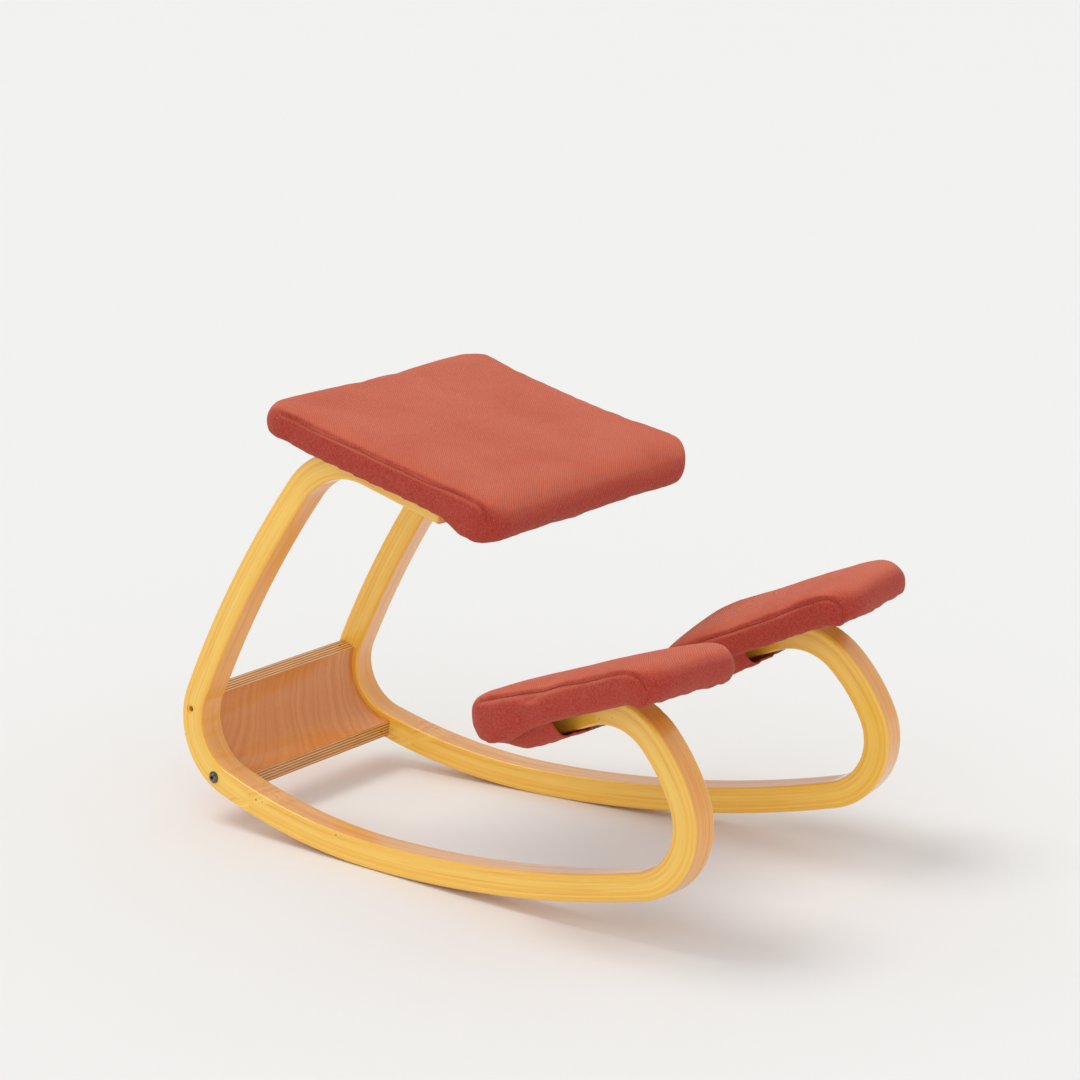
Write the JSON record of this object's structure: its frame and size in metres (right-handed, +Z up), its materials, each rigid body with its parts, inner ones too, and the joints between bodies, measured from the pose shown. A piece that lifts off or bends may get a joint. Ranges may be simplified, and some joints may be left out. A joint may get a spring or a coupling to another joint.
{
  "type": "kneeling chair",
  "caption": "Rocking kneeling chair: bent-wood runners joined by a moulded crosspiece, with a sloping seat cushion and lower knee cushions.",
  "frame": {"origin": "on the floor, under the middle of the chair's bounding box", "axes": "+X forward from the seat to the knee cushions, +Y to the sitter's left, +Z up"},
  "size_m": [0.7195, 0.5186, 0.4973],
  "materials": {
    "varnished_bent_wood": "clear satin varnish over laminated beech",
    "moulded_ply": "clear satin varnish over moulded veneers",
    "plain_ply": "bare birch plywood",
    "foam": "open-cell seating foam",
    "wool_twill": "rust-red ribbed wool cloth, matte and slightly fuzzy",
    "dark_steel": "black zinc plating, semi-gloss",
    "zinc_steel": "bright zinc plating",
    "brass_insert": "turned brass"
  },
  "bodies": {
    "root": {"runner_right": "varnished_bent_wood", "runner_left": "varnished_bent_wood", "rear_crosspiece": "moulded_ply", "frame_bolts": "dark_steel", "crosspiece_inserts": "brass_insert", "crosspiece_pins": "dark_steel", "seat_board": "plain_ply", "seat_foam": "foam", "seat_cover": "wool_twill", "seat_nuts": "zinc_steel", "seat_bolts": "dark_steel", "right_knee_board": "plain_ply", "right_knee_foam": "foam", "right_knee_cover": "wool_twill", "right_knee_nuts": "zinc_steel", "right_knee_bolts": "dark_steel", "left_knee_board": "plain_ply", "left_knee_foam": "foam", "left_knee_cover": "wool_twill", "left_knee_nuts": "zinc_steel", "left_knee_bolts": "dark_steel"}
  },
  "joints": []
}
